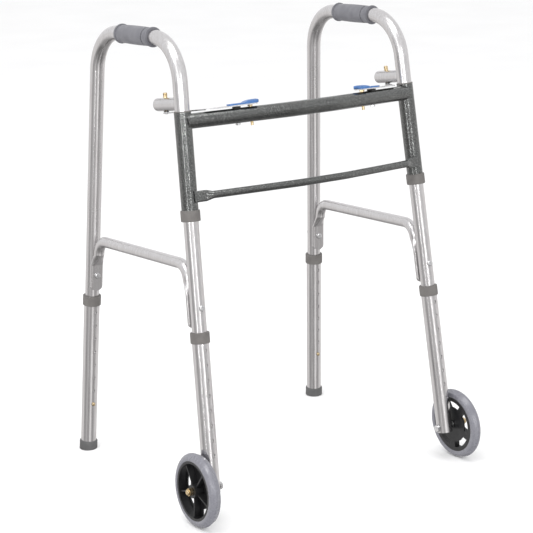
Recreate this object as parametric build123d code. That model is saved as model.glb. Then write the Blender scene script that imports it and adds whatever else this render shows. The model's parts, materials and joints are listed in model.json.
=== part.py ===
from build123d import *
import os
from math import acos, asin, atan, cos, degrees, radians, sin, sqrt, tan

# Folding walking frame with trigger release, front wheels and rear tips.
# Millimetres, +Z up, floor at Z = 0. The cross bars are at the front, towards -Y.
# The user stands at +Y and looks towards -Y, so the user's left side is at +X.

# ---- stance ------------------------------------------------------------------
front_half_width = 251.9     # centre line to front leg axis, at the floor
side_depth = 436.4           # front leg axis to rear leg axis, at the floor
front_lean = 9.27            # front frame leans back at the top, degrees
inward_lean = 1.87           # each front leg leans inwards at the top, degrees
toe_out = 1.12               # side frames open towards the rear, degrees
leg_spread = 12.58           # angle between front leg and rear leg, degrees

# ---- tube sizes --------------------------------------------------------------
side_tube_radius = 12.7
side_tube_bore = 11.4
leg_tube_radius = 14.3
leg_tube_bore = 13.0
cross_tube_radius = 12.7
cross_tube_bore = 11.5
lower_bar_radius = 6.35
lower_bar_bore = 5.15
brace_radius = 9.5
brace_bore = 8.3
running_bore = 12.75         # plastic collars slide on the side tube

# ---- side frame --------------------------------------------------------------
handle_corner_height = 809.2  # front corner of the inverted U, along the front leg
handle_bend_radius = 76.2
grip_length = 106.0
grip_offset = 126.0          # middle of the grip, from the front corner
grip_radius = 15.2
grip_flange_radius = 17.0
grip_flange_thickness = 3.5
front_inner_end = 96.0       # lower end of the side tube inside the front leg
rear_inner_end = 68.0

# ---- front frame -------------------------------------------------------------
upper_bar_height = 675.3     # along the leaning front frame
lower_bar_height = 551.9
bar_bow = 38.0               # how far both bars bow forwards
bar_flat_half = 46.0         # half length of the straight middle of each bar
bar_bend_radius = 150.0
upper_bar_offset = -4.0
lower_bar_offset = -14.5
lower_bar_round_inset = 34.0  # leg axis to where the lower bar starts to flatten
lower_bar_flat_length = 20.0
lower_bar_flat_height = 19.0
lower_bar_flat_depth = 5.0
sleeve_bottom = 521.0
sleeve_top = 691.3
sleeve_ring_thickness = 1.7
collar_radius = 16.5
collar_height = 18.5
sleeve_collar_bottom = 512.0
collar_recess = 9.0
recess_clearance = 0.05

# ---- adjustable legs ---------------------------------------------------------
hole_pitch = 25.4
hole_count = 8
hole_radius = 3.5
front_collar_bottom = 308.6
front_first_hole = 296.8
front_leg_end = 54.5
rear_collar_bottom = 282.8
rear_first_hole = 269.9
rear_leg_end = 6.5
tip_radius = 16.5
tip_height = 17.0
axle_hole_radius = 4.05

# ---- snap buttons, in the lowest holes ---------------------------------------
front_button_height = front_first_hole - (hole_count - 1) * hole_pitch
rear_button_height = rear_first_hole - (hole_count - 1) * hole_pitch
button_radius = 3.2
button_out = 17.3            # tip of the button, from the leg axis
button_in = 9.0
button_flange_radius = 4.6

# ---- wheels ------------------------------------------------------------------
wheel_radius = 63.5
tyre_half_width = 10.0
tyre_thickness = 12.5
wheel_offset = 28.1          # wheel middle outboard of the front leg axis
hub_rim_thickness = 4.5
hub_boss_radius = 11.5
hub_web_radius = 33.0
hub_web_thickness = 2.5
hub_spoke_width = 13.0
hub_first_rib = 81.0
hub_rib_count = 5
hub_rib_thickness = 2.4
axle_radius = 4.0
axle_running_fit = 0.05

# ---- braces ------------------------------------------------------------------
brace_bend_radius = 27.0
brace_stand_off = 22.6       # brace tube axis to leg axis where they run side by side
brace_flat_stand_off = 14.6
brace_flat_width = 25.0
brace_flat_depth = 6.0       # pressed end before its saddle is cut
brace_rear_bolt = 342.6      # along the rear leg
brace_rear_end = 314.0
brace_rear_corner = 410.5
brace_front_bolt = 367.8     # along the front leg
brace_front_end = 332.0
brace_front_corner = 438.1
brace_bend_drop = 26.0       # from the bend corner down to where the tube starts to flatten
brace_neck = 22.0            # length over which the tube flattens
brace_bolt_radius = 3.0

# ---- latch and release lever -------------------------------------------------
stub_height = 705.3          # latch stub axis, along the front leg
stub_radius = 11.1
stub_bore = 9.6
stub_reach = 75.0
latch_pin_reach = 50.4
latch_pin_radius = 3.0
latch_cap_radius = 3.5
latch_cap_top = 19.5         # above the stub axis
spacer_radius = 4.5
spacer_thickness = 1.4
latch_tip_radius = 3.5
latch_tip_length = 3.8
fulcrum_x = 139.0            # lever fulcrum, from the centre line
fulcrum_length = 11.0
fulcrum_width = 11.0
fulcrum_rise = 3.0           # fulcrum ridge above the upper cross bar
lever_tilt = 0.72            # lever slopes down towards the latch pin, degrees
strip_thickness = 2.0
strip_width = 16.0
strip_arm_width = 11.0
strip_inner_end = -35.0
strip_corner = 50.0
latch_hole_radius = 4.0
paddle_start = -39.5
paddle_pad_end = -9.0
paddle_end = 15.0
paddle_width = 21.0
paddle_base_height = 2.4
paddle_height = 6.4       # top of the crowned pad, above the strip
guide_pin_x = -24.5
guide_pin_radius = 2.5
guide_pin_tip = -34.6
fulcrum_bolt_radius = 2.5
spring_length = 17.6
spring_seat = -24.0          # top of the clip that holds the spring
spring_wire_radius = 0.45

# ---- frames of reference -----------------------------------------------------
lean = radians(front_lean)
lean_in = radians(inward_lean)
spread = radians(leg_spread)
rear_foot_y = side_depth * cos(lean)
rear_foot_z = side_depth * sin(lean)

# the wheels and the rear tips stand on the floor, centred front to back
wheel_lean = sin(lean_in) * cos(lean)
wheel_height = wheel_radius * sqrt(1 - wheel_lean**2)
axle_height = (wheel_height - wheel_offset * wheel_lean) / (cos(lean) * cos(lean_in))
axle_back = axle_height * cos(lean_in) * sin(lean)
front_reach = wheel_radius - axle_back
rear_reach = side_depth * cos(radians(toe_out)) + tip_radius
front_leg_y = (front_reach - rear_reach) / 2

FRONT = Pos(0, front_leg_y, 0) * Rot(-front_lean, 0, 0)
LEG = FRONT * Pos(front_half_width, 0, 0) * Rot(0, -inward_lean, 0)
SIDE = LEG * Rot(0, 0, -toe_out)
REAR = SIDE * Pos(0, rear_foot_y, rear_foot_z) * Rot(leg_spread, 0, 0)


def leg_x(height):
    """Distance of the front leg axis from the centre line, in the front frame."""
    return front_half_width - height * tan(lean_in)


def ring(outer, inner, bottom, top):
    """A plain tube along Z."""
    height = top - bottom
    body = Cylinder(outer, height) - Cylinder(inner, height + 2)
    return Pos(0, 0, (bottom + top) / 2) * body


def rod(radius, bottom, top):
    """A plain rod along Z."""
    return Pos(0, 0, (bottom + top) / 2) * Cylinder(radius, top - bottom)


def along_x(shape):
    """Turns a shape made along +Z to lie along +X."""
    return Rot(0, 90, 0) * shape


def along_y(shape):
    """Turns a shape made along +Z to lie along +Y."""
    return Rot(-90, 0, 0) * shape


def hexagon(across_flats, bottom, top):
    """A hexagonal nut blank along Z."""
    profile = RegularPolygon(across_flats / sqrt(3), 6)
    return Pos(0, 0, bottom) * extrude(profile, top - bottom)


def swept_tube(path, outer, inner):
    """A bent tube whose wall follows the path."""
    section = Plane(path @ 0, z_dir=path % 0)
    return sweep(section * (Circle(outer) - Circle(inner)), path=path)


def collar(bottom, height, recess_radius, recess_from, recess_to):
    """A moulded collar with a bore for the side tube and a recess for the end of the outer tube."""
    blank = fillet(rod(collar_radius, bottom, bottom + height).edges(), 1.2)
    body = blank - rod(running_bore, bottom - 1, bottom + height + 1)
    return body - rod(recess_radius, recess_from, recess_to)


# ---- front frame: sleeves, cross bars, collars --------------------------------
def bar_slope(height):
    """How far a cross bar runs forwards for each millimetre inwards from the leg."""
    return bar_bow / (leg_x(height) - bar_flat_half)


def bowed_path(height, offset, inset):
    """Centre line of a cross bar that bows forwards, from the left leg to the right leg."""
    end = leg_x(height) - inset
    end_y = offset - inset * bar_slope(height)
    middle_y = offset - bar_bow
    points = [
        (end, end_y, height),
        (bar_flat_half, middle_y, height),
        (-bar_flat_half, middle_y, height),
        (-end, end_y, height),
    ]
    return FilletPolyline(*points, radius=bar_bend_radius)


def sleeve_core(side):
    """The space that a hinge sleeve takes, used to cope the ends of the cross bars."""
    core = Rot(0, -inward_lean, 0) * rod(leg_tube_radius, sleeve_bottom - 20, sleeve_top + 20)
    placed = Pos(front_half_width, 0, 0) * core
    return placed if side > 0 else mirror(placed, about=Plane.YZ)


upper_slope = bar_slope(upper_bar_height)
fulcrum_y = upper_bar_offset - (leg_x(upper_bar_height) - fulcrum_x) * upper_slope
BAR_TOP = Pos(fulcrum_x, fulcrum_y, upper_bar_height) * Rot(0, 0, degrees(atan(upper_slope)))
LEVER = (
    FRONT
    * BAR_TOP
    * Pos(0, 0, cross_tube_radius + fulcrum_rise)
    * Rot(0, lever_tilt, 0)
)
bar_axis_drop = -(cross_tube_radius + fulcrum_rise)
bar_bottom_drop = bar_axis_drop - cross_tube_radius


def upper_crossbar():
    bar = swept_tube(bowed_path(upper_bar_height, upper_bar_offset, 3.0), cross_tube_radius, cross_tube_bore)
    bar = bar - sleeve_core(1) - sleeve_core(-1)
    bolt_hole = rod(fulcrum_bolt_radius + 0.3, bar_bottom_drop - 5, 0)
    guide_top = Pos(guide_pin_x, 0, 0) * rod(guide_pin_radius + 0.9, bar_axis_drop, 0)
    guide_slot = extrude(SlotOverall(12, 2 * guide_pin_radius + 1.8), -20)
    guide_slot = Pos(guide_pin_x + 0.5, 0, bar_axis_drop) * guide_slot
    drilled = BAR_TOP * Pos(0, 0, -bar_axis_drop) * Rot(0, lever_tilt, 0) * (bolt_hole + guide_top + guide_slot)
    bar = bar - drilled - mirror(drilled, about=Plane.YZ)
    return FRONT * bar


def flat_end(side):
    """Pressed end of the lower bar, welded to the front of the sleeve."""
    end = leg_x(lower_bar_height) - 2.0
    flat_start = end - lower_bar_flat_length
    round_end = leg_x(lower_bar_height) - lower_bar_round_inset
    slope = bar_slope(lower_bar_height)

    def section_at(x):
        y = lower_bar_offset - (leg_x(lower_bar_height) - x) * slope
        return Plane((x, y, lower_bar_height), z_dir=(1, slope, 0), x_dir=(0, 0, 1))

    flat = section_at(flat_start) * SlotOverall(lower_bar_flat_height, lower_bar_flat_depth)
    neck = loft([section_at(round_end) * Circle(lower_bar_radius), flat])
    plate = extrude(flat, (end - flat_start) * sqrt(1 + slope**2))
    pressed = neck + plate
    return pressed if side > 0 else mirror(pressed, about=Plane.YZ)


def lower_crossbar():
    path = bowed_path(lower_bar_height, lower_bar_offset, lower_bar_round_inset)
    bar = swept_tube(path, lower_bar_radius, lower_bar_bore)
    bar = bar + flat_end(1) + flat_end(-1)
    return FRONT * (bar - sleeve_core(1) - sleeve_core(-1))


def hinge_sleeve():
    return LEG * ring(leg_tube_radius, leg_tube_bore, sleeve_bottom, sleeve_top)


def sleeve_top_ring():
    return LEG * ring(leg_tube_radius, running_bore, sleeve_top, sleeve_top + sleeve_ring_thickness)


def sleeve_collar():
    top = sleeve_collar_bottom + collar_height
    recess = leg_tube_radius + recess_clearance
    return LEG * collar(sleeve_collar_bottom, collar_height, recess, sleeve_bottom, top + 1)


def lever_fulcrum():
    """Rubber rocker block that sits on the upper cross bar under the release lever."""
    half = fulcrum_length / 2
    outline = [(-half, -9), (half, -9), (half, -0.7), (0.8, -0.1), (-0.8, -0.1), (-half, -0.7)]
    block = extrude(Plane.XZ * make_face(Polyline(*outline, close=True)), fulcrum_width / 2, both=True)
    bar = along_x(rod(cross_tube_radius, -30, 30))
    saddle = Rot(0, -lever_tilt, 0) * Pos(0, 0, bar_axis_drop) * bar
    return LEVER * (block - saddle - rod(fulcrum_bolt_radius + 0.3, -12, 2))


def fulcrum_bolt():
    head = rod(4.5, 2.4, 3.6)
    return LEVER * (head + rod(fulcrum_bolt_radius, bar_bottom_drop - 3.6, 2.4))


def fulcrum_nut():
    nut = hexagon(8.0, bar_bottom_drop - 2.8, bar_bottom_drop - 0.2)
    return LEVER * (nut - rod(fulcrum_bolt_radius, bar_bottom_drop - 6, bar_bottom_drop + 1))


# ---- side frame ----------------------------------------------------------------
half_spread = spread / 2


def rear_axis_point(distance):
    """A point on the rear leg axis, at this distance from the floor, in the side frame."""
    return (0, rear_foot_y - distance * sin(spread), rear_foot_z + distance * cos(spread))


def rear_corner():
    """The rear corner of the inverted U, where the handle line meets the rear leg axis."""
    rise = tan(half_spread)
    lean_run = tan(spread)
    start = rear_foot_y - lean_run * (handle_corner_height - rear_foot_z)
    y = start / (1 + lean_run * rise)
    return (0, y, handle_corner_height + rise * y)


GRIP = SIDE * Pos(0, 0, handle_corner_height) * Rot(-90 + degrees(half_spread), 0, 0) * Pos(0, 0, grip_offset)


def side_tube():
    path = FilletPolyline(
        (0, 0, front_inner_end),
        (0, 0, handle_corner_height),
        rear_corner(),
        rear_axis_point(rear_inner_end),
        radius=handle_bend_radius,
    )
    tube = SIDE * swept_tube(path, side_tube_radius, side_tube_bore)
    cross_hole = along_y(rod(brace_bolt_radius + 0.1, -20, 20))
    tube = tube - LEG * Pos(0, 0, front_button_height) * along_y(rod(button_radius + 0.1, 0, 20))
    tube = tube - REAR * Pos(0, 0, rear_button_height) * along_y(rod(button_radius + 0.1, -20, 0))
    tube = tube - SIDE * Pos(0, 0, brace_front_bolt) * cross_hole
    tube = tube - REAR * Pos(0, 0, brace_rear_bolt) * cross_hole
    screw_hole = along_y(rod(2.6, 0, 20))
    return tube - LEG * Pos(0, 0, support_screw_height) * screw_hole


support_screw_height = sleeve_collar_bottom - 9.0


def support_screw():
    """Screw that keeps the side tube from sliding up through the sleeve."""
    head = fillet(rod(3.6, 0, 3.2).edges().sort_by(Axis.Z)[-1], 1.2)
    screw = Pos(0, 0, side_tube_radius) * head + rod(2.5, side_tube_bore - 4, side_tube_radius)
    return LEG * Pos(0, 0, support_screw_height) * along_y(screw)


def hand_grip():
    """Moulded grip: a slightly barrelled body between two thin flanges, with a ring groove."""
    half = grip_length / 2
    shoulder = half - grip_flange_thickness
    outline = Polyline(
        (side_tube_radius, -half),
        (grip_flange_radius, -half),
        (grip_flange_radius, -shoulder),
        (grip_radius, -shoulder),
    )
    outline += ThreePointArc((grip_radius, -shoulder), (grip_radius + 0.9, 0), (grip_radius, shoulder))
    outline += Polyline(
        (grip_radius, shoulder),
        (grip_flange_radius, shoulder),
        (grip_flange_radius, half),
        (side_tube_radius, half),
        (side_tube_radius, -half),
    )
    body = revolve(Plane.XZ * make_face(outline), Axis.Z)
    groove_at = -half + 17.0
    body = body - ring(grip_flange_radius + 2, grip_radius - 0.7, groove_at - 1.2, groove_at + 1.2)
    rims = body.edges().filter_by(GeomType.CIRCLE).filter_by(lambda e: e.radius > grip_flange_radius - 0.1)
    return GRIP * fillet(rims, 1.2)


def brace_end(start_height, bolt_height, end_height, toward):
    """Pressed lower end of the brace: it narrows from a round tube to a plate against the leg."""
    flat_top = start_height - brace_neck
    round_plane = Plane((0, toward * brace_stand_off, start_height), z_dir=(0, 0, -1), x_dir=(1, 0, 0))
    flat_plane = Plane((0, toward * brace_flat_stand_off, flat_top), z_dir=(0, 0, -1), x_dir=(1, 0, 0))
    flat = flat_plane * SlotOverall(brace_flat_width, brace_flat_depth)
    neck = loft([round_plane * Circle(brace_radius), flat])
    plate = extrude(flat, flat_top - end_height)
    rounded = Pos(0, 0, end_height + brace_flat_width / 2) * along_y(rod(brace_flat_width / 2, -40, 40))
    upper = Pos(0, 0, end_height + brace_flat_width / 2 + 60) * Box(60, 80, 120)
    pressed = (neck + plate) & (rounded + upper)
    pressed = pressed - rod(side_tube_radius, end_height - 30, start_height + 40)
    hole = along_y(rod(brace_bolt_radius + 0.1, -40, 40))
    return pressed - Pos(0, 0, bolt_height) * hole


def side_brace():
    rear_frame = Pos(0, rear_foot_y, rear_foot_z) * Rot(leg_spread, 0, 0)
    rear_start = brace_rear_corner - brace_bend_drop
    front_start = brace_front_corner - brace_bend_drop
    rear_low = (rear_frame * Pos(0, -brace_stand_off, rear_start)).position
    rear_top = (rear_frame * Pos(0, -brace_stand_off, brace_rear_corner)).position
    points = [
        rear_low,
        rear_top,
        Vector(0, brace_stand_off, brace_front_corner),
        Vector(0, brace_stand_off, front_start),
    ]
    path = FilletPolyline(*points, radius=brace_bend_radius)
    tube = swept_tube(path, brace_radius, brace_bore)
    rear = rear_frame * brace_end(rear_start, brace_rear_bolt, brace_rear_end, -1)
    front = brace_end(front_start, brace_front_bolt, brace_front_end, 1)
    return SIDE * (tube + rear + front)


def brace_bolt(toward):
    """Bolt through the leg and the brace plate, with its nut, along +Y or -Y."""
    grip = brace_flat_stand_off + brace_flat_depth / 2
    head = fillet(rod(5.2, 0, 3.4).edges().sort_by(Axis.Z)[-1], 1.5)
    if toward > 0:
        head_place = Pos(0, 0, side_tube_radius) * head
        shank = rod(brace_bolt_radius, -grip - 5.0, side_tube_radius)
        nut = hexagon(9.0, -grip - 4.4, -grip)
    else:
        head_place = Pos(0, 0, grip) * head
        shank = rod(brace_bolt_radius, -side_tube_radius - 5.0, grip)
        nut = hexagon(9.0, -side_tube_radius - 4.4, -side_tube_radius)
    nut = nut - shank
    return [along_y(Rot(180, 0, 0) * (head_place + shank)), along_y(Rot(180, 0, 0) * nut)]


def brace_fasteners():
    solids = [SIDE * Pos(0, 0, brace_front_bolt) * s for s in brace_bolt(1)]
    solids += [REAR * Pos(0, 0, brace_rear_bolt) * s for s in brace_bolt(-1)]
    return Compound(children=solids)


def latch_stub():
    """Closed tube that sticks out behind the front leg and carries the latch pin."""
    body = along_y(rod(stub_radius, 0, stub_reach))
    body = fillet(body.edges().sort_by(Axis.Y)[-1], 1.5)
    body = body - along_y(rod(stub_bore, -1, stub_reach - 2.0))
    body = Pos(0, 0, stub_height) * body - rod(side_tube_radius, 600, 780)
    pin_hole = Pos(0, latch_pin_reach, stub_height) * rod(latch_pin_radius + 0.05, -20, 20)
    return SIDE * (body - pin_hole)


LATCH = SIDE * Pos(0, latch_pin_reach, stub_height)
spacer_bottom = -stub_radius - spacer_thickness


def latch_pin():
    """Brass pin through the stub, with a raised cap on top."""
    cap = chamfer(rod(latch_cap_radius, stub_radius, latch_cap_top).edges().sort_by(Axis.Z)[-1], 0.8)
    pin = cap + rod(latch_pin_radius, spacer_bottom, stub_radius)
    cross_hole = Pos(0, 0, latch_cap_top - 3.2) * along_x(rod(1.0, -6, 6))
    return LATCH * (pin - cross_hole)


def latch_spacer():
    return LATCH * ring(spacer_radius, latch_pin_radius, spacer_bottom, -stub_radius)


def latch_tip():
    """Rounded nose of the latch pin that drops into the hole of the release lever."""
    nose = rod(latch_tip_radius, spacer_bottom - latch_tip_length, spacer_bottom)
    return LATCH * fillet(nose.edges().sort_by(Axis.Z)[0], 2.2)


FRONT_BUTTON = LEG * Pos(0, 0, front_button_height) * Rot(0, 0, 180)
REAR_BUTTON = REAR * Pos(0, 0, rear_button_height)


def snap_button():
    """Button along -Y with a domed end and an inner flange that the spring clip pushes."""
    pin = rod(button_radius, button_in + 1, button_out)
    pin = fillet(pin.edges().sort_by(Axis.Z)[-1], 1.6)
    return Rot(90, 0, 0) * (pin + rod(button_flange_radius, button_in, button_in + 1.2))


def snap_spring():
    """V-shaped spring clip inside the side tube, behind the snap button."""
    half_width = 4.0
    outline = Polyline(
        (-8.9, -7.0),
        (-8.2, -7.0),
        (-7.6, 22.0),
        (-2.2, 40.0),
        (2.2, 40.0),
        (10.6, -6.0),
        (11.2, -5.8),
        (2.8, 40.8),
        (-2.8, 40.8),
        (-8.3, 22.2),
        (-8.9, -7.0),
    )
    clip = extrude(Plane.YZ * make_face(outline), half_width, both=True)
    return clip & rod(side_tube_bore - 0.1, -20, 60)


# ---- adjustable legs -------------------------------------------------------------
def leg_tube(bottom, top, first_hole, hole_back):
    """Outer leg tube with a row of height holes, drilled from the front as far back as hole_back."""
    tube = ring(leg_tube_radius, leg_tube_bore, bottom, top)
    hole = along_y(rod(hole_radius, -20, hole_back))
    for index in range(hole_count):
        tube = tube - Pos(0, 0, first_hole - index * hole_pitch) * hole
    return tube


def front_leg_tube():
    top = front_collar_bottom + collar_height - collar_recess + 1
    tube = leg_tube(front_leg_end, top, front_first_hole, 20)
    return LEG * (tube - Pos(0, 0, axle_height) * along_x(rod(axle_hole_radius, -20, 20)))


def rear_leg_tube():
    top = rear_collar_bottom + collar_height - collar_recess + 1
    return REAR * leg_tube(rear_leg_end, top, rear_first_hole, 0)


def leg_collar(bottom):
    shoulder = bottom + collar_height - collar_recess + 1
    return collar(bottom, collar_height, leg_tube_radius + recess_clearance, bottom - 1, shoulder)


def rear_tip():
    """Rubber tip pushed over the end of the rear leg, cut level with the floor."""
    body = rod(tip_radius, -6, tip_height)
    body = fillet(body.edges().sort_by(Axis.Z)[-1], 2.0)
    placed = REAR * (body - rod(leg_tube_radius, rear_leg_end, tip_height + 5))
    centre = (REAR * Pos(0, 0, 0)).position
    placed = placed - Pos(centre.X, centre.Y, -20) * Box(80, 80, 40)
    sole = placed.faces().sort_by(Axis.Z)[0]
    return chamfer(sole.outer_wire().edges(), 1.0)


# ---- wheels ----------------------------------------------------------------------
AXLE = LEG * Pos(0, 0, axle_height) * Rot(0, 90, 0)
WHEEL = AXLE * Pos(0, 0, wheel_offset)
hub_radius = wheel_radius - tyre_thickness


def wheel_tyre():
    """Solid tyre with a rounded tread."""
    edge = wheel_radius - tyre_thickness
    shoulder = edge + 2.5
    sides = Polyline(
        (shoulder, -tyre_half_width),
        (edge, -tyre_half_width + 0.8),
        (edge, tyre_half_width - 0.8),
        (shoulder, tyre_half_width),
    )
    tread = Spline(
        (shoulder, tyre_half_width),
        (wheel_radius - 3.4, tyre_half_width * 0.72),
        (wheel_radius, 0),
        (wheel_radius - 3.4, -tyre_half_width * 0.72),
        (shoulder, -tyre_half_width),
        tangents=[(1, 0), (-1, 0)],
    )
    return WHEEL * revolve(Plane.XZ * make_face(sides + tread), Axis.Z)


def wheel_hub():
    """Moulded hub: rim, dished web with windows, ribs and a long boss."""
    half = tyre_half_width - 0.8
    rim = ring(hub_radius, hub_radius - hub_rim_thickness, -half, half)
    rim = rim + ring(hub_radius, hub_radius - 7.5, -half, -half + hub_web_thickness)
    boss = rod(hub_boss_radius, -half, half + 1.5)
    hub = rim + boss + rod(hub_web_radius, -half, -half + hub_web_thickness)
    rib_length = hub_radius - hub_rim_thickness / 2
    web_middle = -half + hub_web_thickness / 2
    for index in range(hub_rib_count):
        rib = Pos(rib_length / 2, 0, -1.0) * Box(rib_length, hub_rib_thickness, 2 * half - 4)
        spoke = Pos(rib_length / 2, 0, web_middle) * Box(rib_length, hub_spoke_width, hub_web_thickness)
        turn = Rot(0, 0, hub_first_rib + index * 360 / hub_rib_count)
        hub = hub + turn * rib + turn * spoke
    return WHEEL * (hub - rod(axle_radius + axle_running_fit, -half - 1, half + 3))


def axle_bolt():
    """Axle bolt with its head on the inner side of the leg and a spacer outside it."""
    head = hexagon(12.0, -leg_tube_radius - 5.0, -leg_tube_radius - 0.1)
    head = chamfer(head.edges().sort_by(Axis.Z)[0:6], 0.7)
    shank = rod(axle_radius, -leg_tube_radius - 0.1, wheel_offset + tyre_half_width + 9.5)
    return AXLE * (head + shank)


def axle_spacer():
    start = leg_tube_radius + 0.1
    end = wheel_offset - tyre_half_width - 0.3
    return AXLE * ring(6.5, axle_radius, start, end)


def axle_nut():
    """Domed lock nut at the outer end of the axle."""
    start = wheel_offset + tyre_half_width + 1.6
    nut = hexagon(12.0, start, start + 6.0) + rod(4.9, start + 6.0, start + 9.0)
    nut = fillet(nut.edges().sort_by(Axis.Z)[-1], 1.5)
    return AXLE * (nut - rod(axle_radius, start - 1, start + 7.9))


# ---- release lever ---------------------------------------------------------------
def latch_hole_place():
    """Latch pin position on the lever strip, in the lever's own frame."""
    spot = LEVER.inverse() * (LATCH * Pos(0, 0, spacer_bottom))
    return spot.position.X, spot.position.Y


def lever_strip():
    """Flat lever: it runs along the cross bar, then turns back to the latch pin."""
    hole_x, hole_y = latch_hole_place()
    bar_part = Pos((strip_inner_end + strip_corner) / 2, 0) * Rectangle(strip_corner - strip_inner_end, strip_width)
    knee = Pos(strip_corner, 0) * Circle(strip_width / 2)
    run = Vector(hole_x - strip_corner, hole_y, 0)
    turn = degrees(atan(hole_y / (hole_x - strip_corner)))
    arm = Pos(strip_corner, 0) * Rot(0, 0, turn) * Pos(run.length / 2, 0) * Rectangle(run.length, strip_arm_width)
    eye = Pos(hole_x, hole_y) * Circle(strip_arm_width / 2)
    holes = Pos(hole_x, hole_y) * Circle(latch_hole_radius) + Circle(fulcrum_bolt_radius + 0.5)
    holes += Pos(guide_pin_x, 0) * Circle(guide_pin_radius)
    outline = bar_part + knee + arm + eye - holes
    return LEVER * extrude(outline, strip_thickness)


def release_paddle():
    """Plastic finger paddle: a thin tongue over the lever that swells into a crowned pad."""
    base_length = paddle_end - paddle_start - 6
    base = Pos((paddle_start + 6 + paddle_end) / 2, 0, strip_thickness)
    base = base * extrude(RectangleRounded(base_length, paddle_width - 4, 4), paddle_base_height)
    pad_length = paddle_pad_end - paddle_start
    pad_middle = Pos((paddle_start + paddle_pad_end) / 2, 0, strip_thickness)
    side_view = Spline(
        (pad_length / 2, 0.4),
        (pad_length * 0.2, paddle_height * 0.78),
        (-pad_length * 0.15, paddle_height),
        (-pad_length * 0.42, paddle_height * 0.85),
        (-pad_length / 2, paddle_height * 0.45),
    )
    side_view += Polyline(
        (-pad_length / 2, paddle_height * 0.45),
        (-pad_length * 0.42, 0),
        (pad_length / 2, 0),
        (pad_length / 2, 0.4),
    )
    swell = extrude(Plane.XZ * make_face(side_view), paddle_width, both=True)
    plan = extrude(RectangleRounded(pad_length, paddle_width, paddle_width / 2 - 1), paddle_height + 2)
    crown = Plane.YZ * Ellipse(paddle_width * 0.56, paddle_height)
    pad = pad_middle * (swell & plan & extrude(crown, pad_length, both=True))
    pocket = rod(5.3, strip_thickness - 1, strip_thickness + 1.8)
    return LEVER * (base + pad - pocket)


def lever_guide_pin():
    """Guide pin under the paddle with its jam nut above the bar and a retaining clip inside."""
    pin = rod(guide_pin_radius, guide_pin_tip, strip_thickness)
    nut = hexagon(8.0, -2.7, 0) - rod(guide_pin_radius, -5, 1)
    clip = ring(5.0, guide_pin_radius, spring_seat - 1.0, spring_seat)
    solids = [LEVER * Pos(guide_pin_x, 0, 0) * s for s in (pin, nut, clip)]
    return Compound(children=solids)


def lever_spring():
    """Return spring around the guide pin, inside the cross bar."""
    path = Helix(pitch=spring_length / 6, height=spring_length, radius=4.0)
    section = Plane(path @ 0, z_dir=path % 0)
    coil = sweep(section * Circle(spring_wire_radius), path=path, is_frenet=True)
    return LEVER * Pos(guide_pin_x, 0, spring_seat + spring_wire_radius) * coil


# ---- write every piece --------------------------------------------------------------
one_side = {
    "hinge_sleeve": hinge_sleeve(),
    "side_tube": side_tube(),
    "hand_grip": hand_grip(),
    "side_brace": side_brace(),
    "brace_fasteners": brace_fasteners(),
    "sleeve_support_screw": support_screw(),
    "latch_stub": latch_stub(),
    "latch_pin": latch_pin(),
    "latch_spacer": latch_spacer(),
    "latch_tip": latch_tip(),
    "front_snap_button": FRONT_BUTTON * snap_button(),
    "rear_snap_button": REAR_BUTTON * snap_button(),
    "front_snap_spring": FRONT_BUTTON * snap_spring(),
    "rear_snap_spring": REAR_BUTTON * snap_spring(),
    "front_leg_tube": front_leg_tube(),
    "rear_leg_tube": rear_leg_tube(),
    "front_leg_collar": LEG * leg_collar(front_collar_bottom),
    "rear_leg_collar": REAR * leg_collar(rear_collar_bottom),
    "rear_tip": rear_tip(),
    "wheel_tyre": wheel_tyre(),
    "wheel_hub": wheel_hub(),
    "axle_bolt": Compound(children=[axle_bolt(), axle_spacer()]),
    "axle_nut": axle_nut(),
    "release_lever": lever_strip(),
    "release_paddle": release_paddle(),
    "lever_guide_pin": lever_guide_pin(),
    "lever_spring": lever_spring(),
}

both_sides = {
    "sleeve_top_rings": [sleeve_top_ring()],
    "sleeve_collars": [sleeve_collar()],
    "lever_fulcrums": [lever_fulcrum()],
    "fulcrum_fasteners": [fulcrum_bolt(), fulcrum_nut()],
}

os.makedirs("parts", exist_ok=True)
export_step(upper_crossbar(), "parts/upper_crossbar.step")
export_step(lower_crossbar(), "parts/lower_crossbar.step")
for name, shape in one_side.items():
    export_step(shape, f"parts/left_{name}.step")
    export_step(mirror(shape, about=Plane.YZ), f"parts/right_{name}.step")
for name, shapes in both_sides.items():
    pairs = shapes + [mirror(shape, about=Plane.YZ) for shape in shapes]
    export_step(Compound(children=pairs), f"parts/{name}.step")
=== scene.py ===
import json
import math
import bpy
from mathutils import Matrix, Vector

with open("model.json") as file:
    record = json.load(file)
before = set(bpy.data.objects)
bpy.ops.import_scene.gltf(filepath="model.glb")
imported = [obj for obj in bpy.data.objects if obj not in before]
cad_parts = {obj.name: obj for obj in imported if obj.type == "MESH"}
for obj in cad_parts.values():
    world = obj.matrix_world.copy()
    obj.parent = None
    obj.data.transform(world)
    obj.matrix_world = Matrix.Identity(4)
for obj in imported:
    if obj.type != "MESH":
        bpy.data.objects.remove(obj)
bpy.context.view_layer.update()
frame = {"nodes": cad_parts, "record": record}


# ---- node helpers ------------------------------------------------------------------
# most of a noise pattern lies between these two values
PATTERN_LOW = 0.3
PATTERN_HIGH = 0.7


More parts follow.
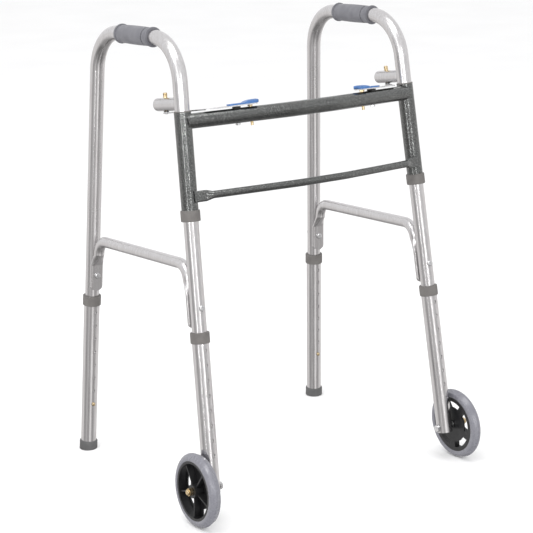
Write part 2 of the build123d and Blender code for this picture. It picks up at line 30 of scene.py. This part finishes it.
class Surface:
    """A Principled material with a few short ways to add procedural detail."""

    def __init__(self, name, roughness=0.5, metallic=0.0, specular=0.5, coat=0.0, coat_roughness=0.1):
        self.material = bpy.data.materials.new(name)
        self.material.use_nodes = True
        self.nodes = self.material.node_tree.nodes
        self.links = self.material.node_tree.links
        self.shader = self.nodes["Principled BSDF"]
        self.shader.inputs["Roughness"].default_value = roughness
        self.shader.inputs["Metallic"].default_value = metallic
        self.shader.inputs["Specular IOR Level"].default_value = specular
        self.shader.inputs["Coat Weight"].default_value = coat
        self.shader.inputs["Coat Roughness"].default_value = coat_roughness
        self.coordinates = self.nodes.new("ShaderNodeTexCoord")
        self.last_bump = None

    def place(self, stretch=(1, 1, 1)):
        mapping = self.nodes.new("ShaderNodeMapping")
        mapping.inputs["Scale"].default_value = stretch
        self.links.new(self.coordinates.outputs["Object"], mapping.inputs["Vector"])
        return mapping.outputs["Vector"]

    def noise(self, scale, detail=3.0, stretch=(1, 1, 1)):
        texture = self.nodes.new("ShaderNodeTexNoise")
        texture.inputs["Scale"].default_value = scale
        texture.inputs["Detail"].default_value = detail
        self.links.new(self.place(stretch), texture.inputs["Vector"])
        return texture.outputs["Fac"]

    def cells(self, scale):
        texture = self.nodes.new("ShaderNodeTexVoronoi")
        texture.feature = "SMOOTH_F1"
        texture.inputs["Scale"].default_value = scale
        self.links.new(self.place(), texture.inputs["Vector"])
        return texture.outputs["Distance"]

    def colour(self, pattern, dark, light, low=0.35, high=0.65):
        ramp = self.nodes.new("ShaderNodeValToRGB")
        ramp.color_ramp.elements[0].position = low
        ramp.color_ramp.elements[1].position = high
        ramp.color_ramp.elements[0].color = (*dark, 1)
        ramp.color_ramp.elements[1].color = (*light, 1)
        self.links.new(pattern, ramp.inputs["Fac"])
        self.links.new(ramp.outputs["Color"], self.shader.inputs["Base Color"])

    def vary_roughness(self, pattern, low, high):
        """Spreads the middle of a pattern over a range of roughness."""
        spread = self.nodes.new("ShaderNodeMapRange")
        spread.inputs["From Min"].default_value = PATTERN_LOW
        spread.inputs["From Max"].default_value = PATTERN_HIGH
        spread.inputs["To Min"].default_value = low
        spread.inputs["To Max"].default_value = high
        self.links.new(pattern, spread.inputs["Value"])
        self.links.new(spread.outputs["Result"], self.shader.inputs["Roughness"])

    def bump(self, pattern, strength, depth):
        """Adds relief. depth is in metres; calls stack, so coarse relief comes first."""
        relief = self.nodes.new("ShaderNodeBump")
        relief.inputs["Strength"].default_value = strength
        relief.inputs["Distance"].default_value = depth
        self.links.new(pattern, relief.inputs["Height"])
        if self.last_bump:
            self.links.new(self.last_bump, relief.inputs["Normal"])
        self.last_bump = relief.outputs["Normal"]
        self.links.new(self.last_bump, self.shader.inputs["Normal"])


# ---- materials ---------------------------------------------------------------------
def anodised_aluminium():
    """Satin anodised tube: faint drawing lines along the tube and soft patches of sheen."""
    surface = Surface("anodised_aluminium", metallic=1.0)
    lines = surface.noise(420, 2.0, stretch=(1, 1, 0.02))
    surface.colour(lines, (0.55, 0.535, 0.535), (0.66, 0.65, 0.655), 0.25, 0.75)
    surface.vary_roughness(surface.noise(9, 4.0), 0.2, 0.29)
    surface.bump(lines, 0.12, 0.00015)
    surface.bump(surface.noise(1800, 2.0), 0.1, 0.00008)
    return surface.material


def hammertone_paint():
    """Dark grey hammered enamel: rounded dimples with metallic flake between them."""
    surface = Surface("hammertone_paint", metallic=0.9, coat=0.35, coat_roughness=0.08)
    flakes = surface.noise(900, 3.0)
    surface.colour(flakes, (0.085, 0.088, 0.086), (0.38, 0.385, 0.375), 0.5, 0.74)
    surface.vary_roughness(surface.noise(700, 2.0), 0.1, 0.24)
    surface.bump(surface.cells(420), 0.35, 0.0005)
    surface.bump(flakes, 0.2, 0.0002)
    return surface.material


def moulded_plastic(name, dark, light, roughness, grain, specular=0.4):
    """Moulded plastic with a fine spark-eroded grain and slight colour drift."""
    surface = Surface(name, specular=specular)
    surface.colour(surface.noise(60, 4.0), dark, light)
    surface.vary_roughness(surface.noise(240, 3.0), roughness - 0.06, roughness + 0.08)
    surface.bump(surface.noise(grain, 2.0), 0.2, 0.00012)
    return surface.material


def soft_rubber(name, dark, light, roughness, specular=0.4):
    """Rubber with dusty patches and a fine pebbled skin."""
    surface = Surface(name, specular=specular)
    surface.colour(surface.noise(45, 5.0), dark, light, 0.3, 0.75)
    surface.vary_roughness(surface.noise(90, 4.0), roughness - 0.07, roughness + 0.1)
    surface.bump(surface.cells(900), 0.12, 0.00015)
    return surface.material


def plated_metal(name, dark, light, roughness):
    """Plated fastener: cloudy passivation and fine scratches."""
    surface = Surface(name, metallic=1.0)
    surface.colour(surface.noise(260, 4.0), dark, light)
    surface.vary_roughness(surface.noise(500, 3.0), roughness - 0.06, roughness + 0.1)
    surface.bump(surface.noise(1500, 2.0, stretch=(1, 0.15, 1)), 0.12, 0.00006)
    return surface.material


MATERIALS = {
    "anodised_aluminium": anodised_aluminium(),
    "hammertone_paint": hammertone_paint(),
    "collar_plastic": moulded_plastic(
        "collar_plastic", (0.12, 0.112, 0.107), (0.15, 0.142, 0.135), 0.55, 1600,
    ),
    "black_plastic": moulded_plastic(
        "black_plastic", (0.009, 0.009, 0.01), (0.016, 0.016, 0.017), 0.38, 1400,
    ),
    "grip_vinyl": moulded_plastic(
        "grip_vinyl", (0.13, 0.13, 0.145), (0.165, 0.165, 0.18), 0.45, 1100,
    ),
    "paddle_plastic": moulded_plastic(
        "paddle_plastic", (0.034, 0.115, 0.31), (0.048, 0.15, 0.385), 0.32, 1800, 0.5,
    ),
    "black_rubber": soft_rubber("black_rubber", (0.012, 0.012, 0.012), (0.022, 0.022, 0.022), 0.6),
    "tip_rubber": soft_rubber("tip_rubber", (0.085, 0.085, 0.085), (0.115, 0.115, 0.115), 0.6),
    "wheel_tread": soft_rubber("wheel_tread", (0.17, 0.17, 0.195), (0.195, 0.195, 0.22), 0.24, 0.7),
    "brass_plate": plated_metal("brass_plate", (0.55, 0.41, 0.22), (0.76, 0.62, 0.4), 0.26),
    "zinc_plate": plated_metal("zinc_plate", (0.55, 0.55, 0.56), (0.78, 0.78, 0.78), 0.24),
    "spring_steel": plated_metal("spring_steel", (0.32, 0.32, 0.33), (0.48, 0.48, 0.49), 0.3),
    "dark_screw": plated_metal("dark_screw", (0.02, 0.02, 0.02), (0.05, 0.05, 0.05), 0.35),
}


def dress_cad_nodes():
    """Gives every CAD node the material of its slot in the record."""
    for subpart in frame["record"]["subparts"]:
        node = frame["nodes"][subpart["node"]]
        node.data.materials.clear()
        node.data.materials.append(MATERIALS[subpart["material_slot"]])


# ---- studio ------------------------------------------------------------------------
CAMERA_PLACE = Vector((-1.7057, -2.5702, 1.2171))
CAMERA_AZIMUTH = math.radians(-33.42)
CAMERA_PITCH = math.radians(15.47)
CAMERA_ROLL = math.radians(-0.66)
CAMERA_LENS = 120.72
SENSOR_WIDTH = 36.0
CAMERA_REACH = 100
FLOOR_REACH = 40.0
LIGHT_TARGET = Vector((0, 0, 0.45))


def add_camera():
    look = Vector((
        -math.sin(CAMERA_AZIMUTH) * math.cos(CAMERA_PITCH),
        math.cos(CAMERA_AZIMUTH) * math.cos(CAMERA_PITCH),
        -math.sin(CAMERA_PITCH),
    ))
    level = Vector((math.cos(CAMERA_AZIMUTH), math.sin(CAMERA_AZIMUTH), 0))
    above = level.cross(look)
    right = level * math.cos(CAMERA_ROLL) + above * math.sin(CAMERA_ROLL)
    up = above * math.cos(CAMERA_ROLL) - level * math.sin(CAMERA_ROLL)
    camera = bpy.data.objects.new("camera", bpy.data.cameras.new("camera"))
    camera.data.lens = CAMERA_LENS
    camera.data.sensor_width = SENSOR_WIDTH
    camera.data.clip_end = CAMERA_REACH
    camera.matrix_world = Matrix.Translation(CAMERA_PLACE) @ Matrix((right, up, -look)).transposed().to_4x4()
    bpy.context.scene.collection.objects.link(camera)
    bpy.context.scene.camera = camera


def add_floor():
    """A plain pale floor that the shiny parts do not mirror."""
    corners = [(x * FLOOR_REACH, y * FLOOR_REACH, 0) for x, y in ((-1, -1), (1, -1), (1, 1), (-1, 1))]
    mesh = bpy.data.meshes.new("floor")
    mesh.from_pydata(corners, [], [(0, 1, 2, 3)])
    floor = bpy.data.objects.new("floor", mesh)
    bpy.context.scene.collection.objects.link(floor)
    surface = Surface("studio_floor", roughness=0.9, specular=0.1)
    surface.colour(surface.noise(3, 2.0), (0.93, 0.93, 0.925), (0.95, 0.95, 0.945))
    mesh.materials.append(surface.material)
    floor.visible_glossy = False


def add_panel_light(name, azimuth, elevation, distance, size, power):
    """A soft rectangular light that faces the middle of the walking frame.

    Azimuth is in degrees from -Y towards +X, and elevation in degrees above the floor.
    """
    light = bpy.data.lights.new(name, "AREA")
    light.shape = "RECTANGLE"
    light.size, light.size_y = size
    light.energy = power
    lamp = bpy.data.objects.new(name, light)
    turn = math.radians(azimuth)
    rise = math.radians(elevation)
    away = Vector((math.sin(turn) * math.cos(rise), -math.cos(turn) * math.cos(rise), math.sin(rise)))
    lamp.location = LIGHT_TARGET + away * distance
    lamp.rotation_euler = (-away).to_track_quat("-Z", "Y").to_euler()
    bpy.context.scene.collection.objects.link(lamp)


# brightness of the studio walls by angle from the camera, in degrees
WALL_TONES = (
    (-180, 0.8), (-125, 0.95), (-88, 1.0), (-70, 0.42), (-50, 0.5), (-30, 0.78), (-12, 0.42), (-3, 0.5),
    (8, 0.6), (18, 1.5), (30, 1.15), (46, 0.5), (58, 0.44), (76, 0.72), (98, 0.95), (140, 1.0), (180, 0.8),
)
CEILING_TONE = 1.02
CEILING_BLUE = 1.01
WALL_GREEN, WALL_BLUE = 0.985, 0.98
# the walls darken between these two heights of view, down to this share of their tone
WALL_FOOT, WALL_FULL, FOOT_SHARE = -0.75, -0.38, 0.45
# half the height of the soft join between walls and ceiling
HORIZON_BLEND = 0.06

# name, azimuth, elevation, distance, size, power
PANEL_LIGHTS = (
    ("key_panel", -75, 50, 3.2, (1.2, 1.2), 24),
    ("horizon_strip", -33, 14, 3.6, (3.2, 0.12), 16),
    ("strip_left", -58, 12, 3.4, (0.12, 2.4), 10),
    ("strip_right", -10, 12, 3.4, (0.12, 2.4), 8),
    ("ceiling_panel", -20, 78, 3.0, (1.6, 1.6), 24),
)


def map_range(nodes, links, value, start, end, low=0.0, high=1.0):
    """Spreads a value between start and end over low to high."""
    spread = nodes.new("ShaderNodeMapRange")
    for name, number in (("From Min", start), ("From Max", end), ("To Min", low), ("To Max", high)):
        spread.inputs[name].default_value = number
    links.new(value, spread.inputs["Value"])
    return spread.outputs["Result"]


def add_studio_walls():
    """World light: a pale ceiling above the horizon, and below it walls in bands that darken downwards."""
    world = bpy.data.worlds.new("studio")
    world.use_nodes = True
    bpy.context.scene.world = world
    nodes, links = world.node_tree.nodes, world.node_tree.links
    direction = nodes.new("ShaderNodeTexCoord").outputs["Generated"]
    turned = nodes.new("ShaderNodeMapping")
    turned.inputs["Rotation"].default_value = (0, 0, math.radians(90) - CAMERA_AZIMUTH)
    links.new(direction, turned.inputs["Vector"])
    angle = nodes.new("ShaderNodeTexGradient")
    angle.gradient_type = "RADIAL"
    links.new(turned.outputs["Vector"], angle.inputs["Vector"])
    walls = nodes.new("ShaderNodeValToRGB")
    stops = walls.color_ramp.elements
    while len(stops) < len(WALL_TONES):
        stops.new(0.5)
    for stop, (degrees, tone) in zip(stops, WALL_TONES):
        stop.position = (degrees + 180) / 360
        stop.color = (tone, tone * WALL_GREEN, tone * WALL_BLUE, 1)
    links.new(angle.outputs["Fac"], walls.inputs["Fac"])
    height = nodes.new("ShaderNodeSeparateXYZ")
    links.new(direction, height.inputs["Vector"])
    shade = nodes.new("ShaderNodeVectorMath")
    shade.operation = "SCALE"
    links.new(walls.outputs["Color"], shade.inputs[0])
    darkening = map_range(nodes, links, height.outputs["Z"], WALL_FOOT, WALL_FULL, FOOT_SHARE)
    links.new(darkening, shade.inputs["Scale"])
    blend = nodes.new("ShaderNodeMix")
    blend.data_type = "RGBA"
    blend.inputs["B"].default_value = (CEILING_TONE, CEILING_TONE, CEILING_TONE * CEILING_BLUE, 1)
    above_horizon = map_range(nodes, links, height.outputs["Z"], -HORIZON_BLEND, HORIZON_BLEND)
    links.new(above_horizon, blend.inputs["Factor"])
    links.new(shade.outputs["Vector"], blend.inputs["A"])
    links.new(blend.outputs["Result"], nodes["Background"].inputs["Color"])


def build_studio():
    add_floor()
    add_studio_walls()
    for name, azimuth, elevation, distance, size, power in PANEL_LIGHTS:
        add_panel_light(name, azimuth, elevation, distance, size, power)
    bpy.context.scene.view_settings.view_transform = "Standard"


dress_cad_nodes()
add_camera()
build_studio()
